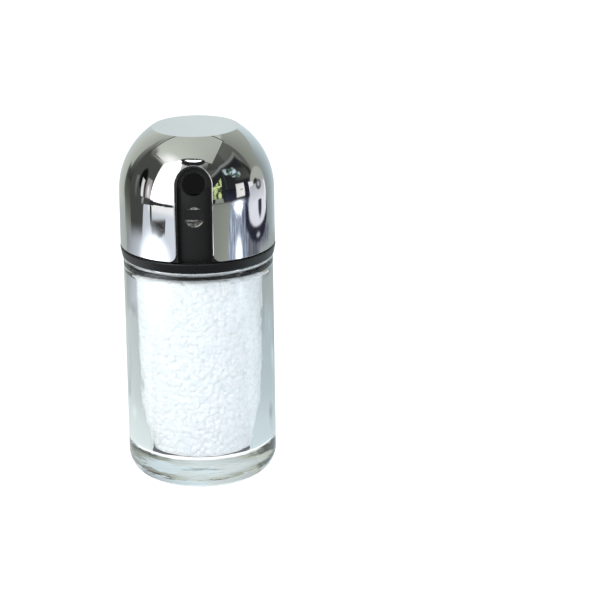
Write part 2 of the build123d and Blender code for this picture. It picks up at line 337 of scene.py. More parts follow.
def jar_mesh(jar):
    """Glass body: a section from under the foot, up the outside and down the hollow, revolved.

    The foot's recess is a parabola, depth * (1 - (r / recess) ** 2), and the screw ridge is added to the
    neck's radius; its slopes along the axis and around it tilt the normals.
    """
    corners = [(jar.recess, 0), (jar.radius, 0), (jar.radius, jar.shoulder), (jar.neck, jar.shoulder)]
    corners += [(jar.neck, jar.rim), (jar.bore, jar.rim)] + hollow_corners(jar, 0)[::-1]
    rounds = [jar.heel, jar.shoulder_round, jar.neck_root, jar.rim_round, jar.rim_round]
    rounds += [jar.inner_shoulder, jar.inner_shoulder, jar.inner_belly, jar.inner_heel]
    coarse, fine, arc_step, recess_rings = 2.0 * MM, 0.2 * MM, 0.35 * MM, 12
    steps = [coarse] * 3 + [fine] + [coarse] * 6
    outline, facing = rounded_outline(corners, rounds, arc_step, steps)
    out = np.linspace(0, 1, recess_rings, endpoint=False)[1:]
    recess = np.stack([out * jar.recess, jar.recess_depth * (1 - out**2)], -1)
    slope = 2 * jar.recess_depth * out / jar.recess
    outline = np.concatenate([recess, outline[:-1]])
    facing = np.concatenate([np.stack([-slope, -np.ones_like(out)], -1), facing[:-1]])
    azimuth = np.linspace(0, 2 * pi, jar.around, endpoint=False)
    points, normals = revolved(outline, facing, azimuth)
    on_neck = (np.abs(outline[:, 0] - jar.neck) < 0.01 * MM) & (facing[:, 0] > 0.99)
    height = outline[on_neck, 1]
    ridge = thread_ridge(jar, height[:, None], azimuth)
    points[on_neck, :, :2] += ridge[..., None] * compass(azimuth)
    rise, sweep = np.gradient(ridge, height, azimuth * jar.neck)
    normals[on_neck, :, 2] -= rise
    normals[on_neck, :, :2] -= sweep[..., None] * compass(azimuth + pi / 2)
    foot = ((0, 0, jar.recess_depth), (0, 0, -1))
    floor = ((0, 0, jar.floor), (0, 0, 1))
    return capped(points, normals, foot, floor)


def crystals(salt, along, around, cells):
    """Height and tone of a bed of crystals, one in each cell of a shaken lattice.

    The place is counted in cells along and around the bed, which closes after its last cell. A crystal's
    height at a place is its own level, plus its face's slope times the way from its middle, less bevel times
    the square of how far the place lies outside its flat face; the highest of the nine nearest shows.
    """
    seed, margin = 11, 0.14
    random = np.random.default_rng(seed)
    rows = ceil(along.max()) + 3
    middle = random.uniform(margin, 1 - margin, (rows, cells, 2))
    level = -salt.settle * random.random((rows, cells)) ** 1.6
    slope = random.uniform(-salt.tilt, salt.tilt, (rows, cells, 2))
    flat = salt.flat * random.uniform(0.5, 1.5, (rows, cells))
    tone = random.random((rows, cells))
    along, around = np.broadcast_arrays(along, around)
    height = np.full(along.shape, -salt.valley)
    shade = np.zeros(along.shape)
    for down in (0, 1, 2):
        for beside in (-1, 0, 1):
            row = np.floor(along).astype(int) + down
            lap = np.floor(around).astype(int) + beside
            column = lap % cells
            away_along = (along + 1 - row - middle[row, column, 0]) * salt.grain
            away_around = (around - lap - middle[row, column, 1]) * salt.grain
            outside = np.clip(np.hypot(away_along, away_around) - flat[row, column], 0, None)
            tilted = slope[row, column, 0] * away_along + slope[row, column, 1] * away_around
            reach = level[row, column] + tilted - salt.bevel * outside**2
            shade = np.where(reach > height, tone[row, column], shade)
            height = np.maximum(height, reach)
    return height, shade


def salt_mesh(salt, jar):
    """Crystals against the glass: the hollow's section, drawn in by the gap, revolved and set with crystals.

    The crystals' heights are measured from the glass inwards and fade out towards the axis on the floor and
    on top, where the points also stand wider apart. Each normal is the cross product of the surface's steps
    along and around.
    """
    floor_run, heel_run, top_run, fade = 10 * MM, 14 * MM, 20 * MM, 6 * MM
    arc_step, run_step = 0.1 * MM, 0.2 * MM
    corners = hollow_corners(jar, salt.gap) + [(jar.bore - salt.gap, salt.top), (0, salt.top)]
    rounds = [jar.inner_heel, jar.inner_belly, jar.inner_shoulder, jar.inner_shoulder, salt.gap]
    outline, facing = rounded_outline(corners, rounds, arc_step, [run_step] * len(corners))
    along = np.concatenate([[0], np.cumsum(np.linalg.norm(np.diff(outline, axis=0), axis=1))])
    ends = [0, floor_run, heel_run, along[-1] - top_run, along[-1]]
    wider = np.interp(along, ends, [4, 2, 1, 1, 4])
    counted = np.concatenate([[0], np.cumsum(np.diff(along) / (salt.step * wider[1:]))])
    even = np.interp(np.arange(1, counted[-1] - 1), counted, along)
    outline = np.stack([np.interp(even, along, outline[:, k]) for k in (0, 1)], -1)
    facing = np.stack([np.interp(even, along, facing[:, k]) for k in (0, 1)], -1)
    columns = ceil(2 * pi * jar.belly_radius / salt.step)
    azimuth = np.linspace(0, 2 * pi, columns, endpoint=False)
    points, normals = revolved(outline, facing, azimuth)
    cells = round(2 * pi * jar.belly_radius / salt.grain)
    height, tone = crystals(salt, even[:, None] / salt.grain, azimuth * cells / (2 * pi), cells)
    faded = np.clip(outline[:, :1] / fade - 0.3, 0, 1)
    points += normals * (np.minimum(height, 0) * faded)[..., None]
    wrapped = np.concatenate([points[:, -1:], points, points[:, :1]], axis=1)
    sweep = wrapped[:, 2:] - wrapped[:, :-2]
    normals = np.cross(sweep, np.gradient(points, axis=0))
    floor = ((0, 0, jar.floor + salt.gap), (0, 0, -1))
    top = ((0, 0, salt.top), (0, 0, 1))
    return *capped(points, normals, floor, top), np.concatenate([tone.ravel(), [0.5, 0.5]])


def window_edge(dome, height, grown):
    """Half width of the arched window at a height, grown outwards all round; it flares at the foot."""
    half = dome.window / 2 + grown
    corner = dome.corner - grown
    level = height - dome.low
    flare = dome.corner - level
    foot = half + corner - np.sqrt(np.clip(corner**2 - np.clip(flare, 0, corner) ** 2, 0, None))
    arch = np.sqrt(np.clip(half**2 - (level - dome.arch) ** 2, 0, None))
    return np.where(level < dome.corner, foot, np.where(level > dome.arch, arch, half))


def dome_heights(dome, grown):
    """Row heights from the lower edge to the arch's top: close together where the outline turns."""
    foot = dome.corner - (dome.corner - grown) * np.cos(np.linspace(0, pi / 2, 13))
    wall = steps_to(dome.corner, dome.straight, 9)
    rounded = steps_to(dome.straight, dome.arch, 11)
    arch = dome.arch + (dome.window / 2 + grown) * np.sin(steps_to(0, pi / 2, 27))
    return dome.low + np.concatenate([foot, wall, rounded, arch])


def dome_section(dome, heights):
    """Radius and normal of the dome at each height: a straight wall under a sphere about the wall's top."""
    centre = dome.low + dome.straight
    lift = np.clip((heights - centre) / dome.radius, 0, 1)
    level = np.sqrt(1 - lift**2)
    return dome.radius * level, np.stack([level, lift], -1)


def crown_rows(dome, start):
    """Rows from the arch's top over the rounded crest and the flat top to near the axis."""
    centre = dome.low + dome.straight
    inner = dome.radius - dome.crest
    edge = np.arcsin((dome.top - dome.crest - centre) / inner)
    ball_facing = compass(steps_to(np.arcsin((start - centre) / dome.radius), edge, 21))
    ball = [0, centre] + dome.radius * ball_facing
    crest_facing = compass(steps_to(edge, pi / 2, 6))
    crest = [inner * np.cos(edge), dome.top - dome.crest] + dome.crest * crest_facing
    out = np.linspace(1, 0, 12, endpoint=False)[1:] * inner * np.cos(edge)
    flat = np.stack([out, np.full_like(out, dome.top)], -1)
    flat_facing = np.tile([0.0, 1.0], (len(out), 1))
    return np.concatenate([ball, crest, flat]), np.concatenate([ball_facing, crest_facing, flat_facing])


def dome_mesh(dome):
    """Thin shell with an arched window and a lip rounded all the way along the window and the lower edge.

    Below the arch's top each row runs round the back from one side of the window to the other, so the
    azimuth is edge + (2 pi - 2 edge) * share; above it the rows close. The inner side is the same grid
    moved in by the wall. The lip is half an ellipse, lip wide and wall thick, carried along the loop that
    both sides end in.
    """
    heights = dome_heights(dome, dome.lip)
    below = len(heights) - 1
    radius, facing = dome_section(dome, heights)
    crown, crown_facing = crown_rows(dome, heights[-1])
    edge = np.arcsin(np.clip(window_edge(dome, heights, dome.lip) / radius, 0, 1))
    edge = np.concatenate([edge, np.zeros(len(crown))])[:, None]
    azimuth = edge + (2 * pi - 2 * edge) * np.linspace(0, 1, dome.around + 1)
    section = np.concatenate([np.stack([radius, heights], -1), crown])
    points, normals = revolved(section, np.concatenate([facing, crown_facing]), azimuth - pi / 2)
    outer, outward = points.reshape(-1, 3), normals.reshape(-1, 3)
    numbers = np.arange(azimuth.size).reshape(azimuth.shape)
    numbers[below:, -1] = numbers[below:, 0]
    loop = np.concatenate([numbers[0], numbers[1:below, -1], numbers[below, :1], numbers[1:below, 0][::-1]])
    rim, rim_facing = outer[loop], outward[loop]
    beyond = unit(np.cross(np.roll(rim, -1, axis=0) - np.roll(rim, 1, axis=0), rim_facing))
    turn = np.linspace(0, pi, 13)[1:-1, None, None]
    lip = rim + dome.lip * np.sin(turn) * beyond - dome.wall / 2 * (1 - np.cos(turn)) * rim_facing
    lip_facing = dome.lip * np.cos(turn) * rim_facing + dome.wall / 2 * np.sin(turn) * beyond
    top, up = np.array([0, 0, dome.top]), np.array([0, 0, 1.0])
    vertices = [outer, outer - dome.wall * outward, lip.reshape(-1, 3), [top, top - dome.wall * up]]
    all_facing = [outward, -outward, lip_facing.reshape(-1, 3), [up, -up]]
    count = len(outer)
    strip = 2 * count + np.arange(lip[..., 0].size).reshape(len(turn), -1)
    poles = 2 * count + strip.size
    grid, crest = grid_faces(numbers, closed=False), numbers[-1, :-1]
    faces = [
        grid,
        grid + count,
        grid_faces(np.concatenate([loop[None], strip, loop[None] + count])),
        fan_faces(poles, crest),
        fan_faces(poles + 1, crest + count),
    ]
    return np.concatenate(vertices), np.concatenate(all_facing), faces


def without_loose(points, normals, faces):
    """Drops vertices that no face uses."""
    used = np.unique(np.concatenate([group.ravel() for group in faces]))
    renumber = np.zeros(len(points), int)
    renumber[used] = np.arange(len(used))
    return points[used], normals[used], [renumber[group] for group in faces]


# ---- shader helpers

def plug(made, **inputs):
    """Fills a node's inputs with values or sockets: _ in a name is a space, and i0 is the first input."""
    for name, value in inputs.items():
        socket = made.inputs[int(name[1:]) if name[1:].isdigit() else name.replace("_", " ")]
        if isinstance(value, bpy.types.NodeSocket):
            made.id_data.links.new(value, socket)
        else:
            socket.default_value = value
    return made


def node(tree, kind, settings=None, **inputs):
    """Adds a node with its settings and inputs."""
    made = tree.nodes.new(kind)
    for name, value in (settings or {}).items():
        setattr(made, name, value)
    return plug(made, **inputs)


def calculate(tree, operation, first, second, third=0.0):
    """Output of a Math node."""
    return node(tree, "ShaderNodeMath", {"operation": operation}, i0=first, i1=second, i2=third).outputs[0]


def vector_math(tree, operation, first, second=(0.0, 0.0, 0.0)):
    """Vector and Value outputs of a Vector Math node."""
    return node(tree, "ShaderNodeVectorMath", {"operation": operation}, i0=first, i1=second).outputs


def remap(tree, value, low, high, to_low=0.0, to_high=1.0):
    """Output of a smooth Map Range node."""
    ends = {"From_Min": low, "From_Max": high, "To_Min": to_low, "To_Max": to_high}
    ranged = node(tree, "ShaderNodeMapRange", {"interpolation_type": "SMOOTHSTEP"}, Value=value, **ends)
    return ranged.outputs["Result"]


def blend(tree, share, first, second):
    """Colour output of a Mix node; plain colours get an alpha of 1."""
    first, second = (c if isinstance(c, bpy.types.NodeSocket) else (*c, 1.0) for c in (first, second))
    return node(tree, "ShaderNodeMix", {"data_type": "RGBA"}, i0=share, i6=first, i7=second).outputs[2]


def own_place(tree):
    """Place in the piece's own coordinates."""
    return node(tree, "ShaderNodeTexCoord").outputs["Object"]


def mapped(tree, place, scale, turn=(0.0, 0.0, 0.0)):
    """Place scaled along each axis and then turned."""
    return node(tree, "ShaderNodeMapping", Vector=place, Rotation=turn, Scale=scale).outputs[0]


def noise(tree, place, scale, detail=2.0, roughness=0.5):
    """Factor of a Noise texture."""
    made = node(tree, "ShaderNodeTexNoise", Vector=place, Scale=scale, Detail=detail, Roughness=roughness)
    return made.outputs[0]


def facing_up(tree, low, high):
    """Smooth step from 0 to 1 as the normal's rise goes from low to high."""
    normal = node(tree, "ShaderNodeNewGeometry").outputs["Normal"]
    return remap(tree, node(tree, "ShaderNodeSeparateXYZ", Vector=normal).outputs["Z"], low, high)


def effect(name, inputs, *outputs):
    """New shader node group of plain numbers, with inputs by name and value and outputs by name."""
    group = bpy.data.node_groups.new(name, "ShaderNodeTree")
    for label, value in inputs.items():
        group.interface.new_socket(label, in_out="INPUT", socket_type="NodeSocketFloat").default_value = value
    for label in outputs:
        group.interface.new_socket(label, in_out="OUTPUT", socket_type="NodeSocketFloat")
    return group, group.nodes.new("NodeGroupInput").outputs, group.nodes.new("NodeGroupOutput")


def handling_effect():
    """Smudges from fingers, hairlines from wiping and the fine pores of a moulded skin."""
    sizes = {"Smudge Size": 70.0, "Pore Size": 2600.0, "Line Size": 900.0}
    group, given, result = effect("handling", sizes, "Smudge", "Hairline", "Pores")
    place = own_place(group)
    wiped = mapped(group, place, (1.0, 1.0, 0.03), (0.5, 0.3, 0.2))
    crossed = mapped(group, place, (1.0, 0.03, 1.0), (-0.9, 0.6, 1.1))
    lines = remap(group, noise(group, wiped, given["Line Size"], 1.0), 0.66, 0.72)
    others = remap(group, noise(group, crossed, given["Line Size"], 1.0), 0.67, 0.73)
    plug(
        result,
        Smudge=remap(group, noise(group, place, given["Smudge Size"], 5.0, 0.62), 0.46, 0.68),
        Hairline=calculate(group, "MAXIMUM", lines, others),
        Pores=noise(group, place, given["Pore Size"], 3.0, 0.6),
    )
    return group


def dust_effect():
    """Fine dust that settles on what faces up, thinner where it was wiped."""
    group, given, result = effect("dust", {"Amount": 1.0}, "Dust")
    place = own_place(group)
    wiped = remap(group, noise(group, place, 120.0, 4.0, 0.7), 0.4, 0.75)
    specks = remap(group, noise(group, place, 5200.0, 1.0), 0.62, 0.74)
    coat = calculate(group, "MULTIPLY", facing_up(group, 0.1, 0.95), calculate(group, "ADD", wiped, specks))
    plug(result, Dust=calculate(group, "MULTIPLY", coat, given["Amount"]))
    return group


def grain_effect():
    """Crystal faces: a tone and a flat tilted face for each cell, with gaps between cells.

    The height in a cell, in metres, is the way from its middle times a slope of its own.
    """
    group, given, result = effect("grains", {"Scale": 2200.0}, "Tone", "Gap", "Height")
    place = own_place(group)
    lattice = {"Vector": place, "Scale": given["Scale"]}
    cells = node(group, "ShaderNodeTexVoronoi", **lattice).outputs
    borders = node(group, "ShaderNodeTexVoronoi", {"feature": "DISTANCE_TO_EDGE"}, **lattice).outputs
    away = vector_math(group, "SUBTRACT", place, cells["Position"])[0]
    slope = vector_math(group, "SUBTRACT", cells["Color"], (0.5, 0.5, 0.5))[0]
    plug(
        result,
        Tone=node(group, "ShaderNodeSeparateColor", Color=cells["Color"]).outputs[0],
        Gap=remap(group, borders["Distance"], 0.0, 0.16, 1.0, 0.0),
        Height=vector_math(group, "DOT_PRODUCT", away, slope)["Value"],
    )
    return group


def use_effect(tree, name, build, **inputs):
    """Outputs of a shared node group, which is built the first time it is asked for."""
    placed = tree.nodes.new("ShaderNodeGroup")
    placed.node_tree = bpy.data.node_groups.get(name) or build()
    return plug(placed, **inputs).outputs


def handled_skin(tree, **sizes):
    """Smudge, Hairline and Pores of the handling effect."""
    return use_effect(tree, "handling", handling_effect, **sizes)


def dusted(tree, share, clean, dust):
    """Clean colour under a share of dust."""
    return blend(tree, use_effect(tree, "dust", dust_effect, Amount=share)["Dust"], clean, dust)


def worn(tree, handled, clean, smudged, scratched):
    """Roughness from clean to smudged, and more by the scratched amount along hairlines."""
    rough = remap(tree, handled["Smudge"], 0.0, 1.0, clean, smudged)
    return calculate(tree, "MULTIPLY_ADD", handled["Hairline"], scratched, rough)


def bump(tree, height, depth, strength):
    """Normal from a height in metres of depth."""
    return node(tree, "ShaderNodeBump", Height=height, Distance=depth, Strength=strength).outputs[0]


def emptied(owner, output="ShaderNodeOutputMaterial"):
    """Node tree of a material or world with nothing in it but its output node."""
    owner.use_nodes = True
    tree = owner.node_tree
    tree.nodes.clear()
    return tree, tree.nodes.new(output)


def new_material(name):
    """Material with its tree, its Principled shader and its output."""
    material = bpy.data.materials.new(name)
    tree, output = emptied(material)
    shader = tree.nodes.new("ShaderNodeBsdfPrincipled")
    plug(output, Surface=shader.outputs[0])
    return material, tree, shader, output


# ---- materials

def bright_material(finish):
    """Mirror plating with a faint swell, finger smudges, hairlines and a trace of dust."""
    material, tree, shader, _ = new_material("bright_plating")
    handled = handled_skin(tree, Smudge_Size=55.0)
    plug(
        shader,
        Base_Color=dusted(tree, 0.05, finish.bright, finish.dust),
        Metallic=1.0,
        Roughness=worn(tree, handled, 0.028, 0.06, 0.035),
        Normal=bump(tree, noise(tree, own_place(tree), 130.0, 1.0), 0.02 * MM, 0.6),
    )
    return material


def black_material(finish, name, roughness, pores):
    """Satin moulded plastic with fine pores, polished by handling and dusted on top."""
    material, tree, shader, _ = new_material(name)
    handled = handled_skin(tree, Pore_Size=3400.0)
    plug(
        shader,
        Base_Color=dusted(tree, 0.03, finish.black, finish.dust),
        Roughness=worn(tree, handled, roughness, roughness + 0.1, 0.08),
        Normal=bump(tree, handled["Pores"], pores, 0.5),
    )
    return material


def drum_material(finish, head):
    """The satin black, with salt dust on the thumb rest's ledges that also stands as a painted highlight on
    their lit tops, and a painted glow in the chamber for dim scattered light.
    """
    material = black_material(finish, "black_drum", roughness=0.36, pores=0.05 * MM)
    tree = material.node_tree
    shader = next(made for made in tree.nodes if made.type == "BSDF_PRINCIPLED")
    clean = shader.inputs["Base Color"].links[0].from_socket
    place = own_place(tree)
    front = vector_math(tree, "MULTIPLY", place, (1.0, 0.0, 1.0))[0]
    away = vector_math(tree, "DISTANCE", front, (0.0, 0.0, head.rest_height))["Value"]
    on_rest = remap(tree, away, head.rest_radius, 1.05 * head.rest_radius, 1.0, 0.0)
    # Salt dust on the thumb rest's upward ledges, which also stands as a painted highlight on their lit tops.
    ledge_dust_and_highlight = calculate(tree, "MULTIPLY", on_rest, facing_up(tree, 0.2, 0.7))
    strewn = remap(tree, noise(tree, place, 900.0, 3.0), 0.38, 0.6, 0.15, 1.0)
    out = vector_math(tree, "LENGTH", vector_math(tree, "MULTIPLY", place, (1.0, 1.0, 0.0))[0])["Value"]
    # Painted glow: inside the chamber's radius the drum emits the chamber colour, standing for dim scattered
    # light.
    painted_glow_share = remap(tree, out, 0.99 * head.chamber, 1.01 * head.chamber, 1.0, 0.0)
    plug(
        shader,
        Base_Color=blend(tree, calculate(tree, "MULTIPLY", ledge_dust_and_highlight, strewn), clean, finish.dust),
        Emission_Color=blend(tree, painted_glow_share, (0.0, 0.0, 0.0), finish.chamber),
        Emission_Strength=1.0,
    )
    return material


def glass_material(finish):
    """Clear glass with slow ripples, livelier in the thick foot; lamps shine through it onto the salt."""
    material, tree, shader, output = new_material("clear_glass")
    tint = (*finish.glass, 1.0)
    place = own_place(tree)
    rise = node(tree, "ShaderNodeSeparateXYZ", Vector=place).outputs["Z"]
    low = remap(tree, rise, 8 * MM, 20 * MM, 1.2, 0.0)
    flowed = noise(tree, mapped(tree, place, (0.5, 0.5, 2.2)), 170.0)
    ripple = noise(tree, mapped(tree, place, (1.0, 1.0, 0.45)), 120.0)
    height = calculate(tree, "MULTIPLY_ADD", flowed, low, ripple)
    plug(
        shader,
        Base_Color=tint,
        Roughness=remap(tree, handled_skin(tree, Smudge_Size=90.0)["Hairline"], 0.0, 1.0, 0.0, 0.05),
        IOR=1.5,
        Transmission_Weight=1.0,
        Normal=bump(tree, height, 0.2 * MM, 0.9),
    )
    path = node(tree, "ShaderNodeLightPath").outputs
    clear = node(tree, "ShaderNodeBsdfTransparent", Color=tint).outputs[0]
    mixed = shader.outputs[0]
    for kind in ("Is Shadow Ray", "Is Diffuse Ray", "Is Reflection Ray"):
        mixed = node(tree, "ShaderNodeMixShader", i0=path[kind], i1=mixed, i2=clear).outputs[0]
    plug(output, Surface=mixed)
    return material


def salt_material(finish):
    """White crystals, each with its own tone and gloss, chipped finely, with painted bluish shade between
    chips.
    """
    material, tree, shader, _ = new_material("coarse_salt")
    faces = use_effect(tree, "grains", grain_effect, Scale=820.0)
    chips = use_effect(tree, "grains", grain_effect, Scale=2300.0)
    crystal = node(tree, "ShaderNodeAttribute", {"attribute_name": "crystal"}).outputs["Fac"]
    shade = remap(tree, crystal, 0.0, 0.5, 0.35, 0.0)
    # Painted shade in the gaps between chips, bluish grey, on top of the dull crystals' own tone.
    shade = calculate(tree, "MAXIMUM", shade, calculate(tree, "MULTIPLY", faces["Gap"], 0.4))
    height = calculate(tree, "MULTIPLY_ADD", chips["Height"], 0.6, faces["Height"])
    plug(
        shader,
        Base_Color=blend(tree, shade, finish.salt, finish.dull_and_shaded_salt),
        Roughness=remap(tree, chips["Tone"], 0.5, 1.0, 0.6, 0.25),
        Coat_Weight=remap(tree, crystal, 0.8, 0.9, 0.0, 0.6),
        Subsurface_Weight=0.5,
        Subsurface_Radius=(1.0, 1.0, 1.0),
        Subsurface_Scale=0.8 * MM,
        Normal=bump(tree, height, 1.0, 0.32),
    )
    return material


def seal_material(finish):
    """Soft matt ring with a fine skin."""
    material, tree, shader, _ = new_material("soft_seal")
    handled = handled_skin(tree)
    soiled = tuple(0.7 * c for c in finish.seal)
    plug(
        shader,
        Base_Color=blend(tree, handled["Smudge"], finish.seal, soiled),
        Roughness=remap(tree, handled["Pores"], 0.3, 0.7, 0.55, 0.75),
        Normal=bump(tree, handled["Pores"], 0.03 * MM, 0.5),
    )
    return material


def steel_material(finish):
    """Zinc-plated steel with turning marks and a trace of salt dust."""
    material, tree, shader, _ = new_material("zinc_steel")
    marks = {"wave_type": "RINGS", "rings_direction": "Z"}
    rings = node(tree, "ShaderNodeTexWave", marks, Vector=own_place(tree), Scale=900.0, Distortion=0.6)
    plug(
        shader,
        Base_Color=dusted(tree, 0.2, finish.steel, finish.dust),
        Metallic=1.0,
        Roughness=remap(tree, handled_skin(tree, Smudge_Size=400.0)["Smudge"], 0.0, 1.0, 0.25, 0.42),
        Normal=bump(tree, rings.outputs[1], 0.01 * MM, 0.4),
    )
    return material


# ---- studio

# Tints of the cards.
WARM, COOL, PLAIN = (0.99, 1.06, 0.94), (0.93, 0.99, 1.08), (1.0, 1.0, 1.0)
INDIGO, SILVER, AQUA = (0.75, 0.8, 1.3), (0.85, 0.98, 1.2), (0.93, 1.02, 1.02)
SEA, SKY, LAVENDER = (0.88, 1.03, 1.08), (0.8, 1.0, 1.08), (0.95, 0.96, 1.05)
ROSE, SHELL, LEAF = (1.0, 0.9, 0.93), (1.0, 0.97, 0.98), (0.85, 1.0, 0.45)


def quad(name, corners, light, tint=PLAIN, soft=0.0):
    """Card between four corners, anticlockwise from the lower left, with a light at each; soft in degrees."""
    light = light if isinstance(light, tuple) else (light,) * 4
    return name, corners, light, tint, soft, "quad"


def overhead(name, corners, light, tint=PLAIN, soft=0.0):
    """Card on a level ceiling; corners and soft are counted in the ceiling's height, right and away."""
    return *quad(name, corners, light, tint, soft)[:-1], "overhead"


def spot(name, centre, reach, light, tint=PLAIN, soft=1.0):
    """Round card with its half width and half height in degrees; soft is the share of them that fades out."""
    (x, y), (wide, high) = centre, reach
    corners = ((x - wide, y - high), (x + wide, y - high), (x + wide, y + high), (x - wide, y + high))
    return name, corners, (light,) * 4, tint, soft, "round"


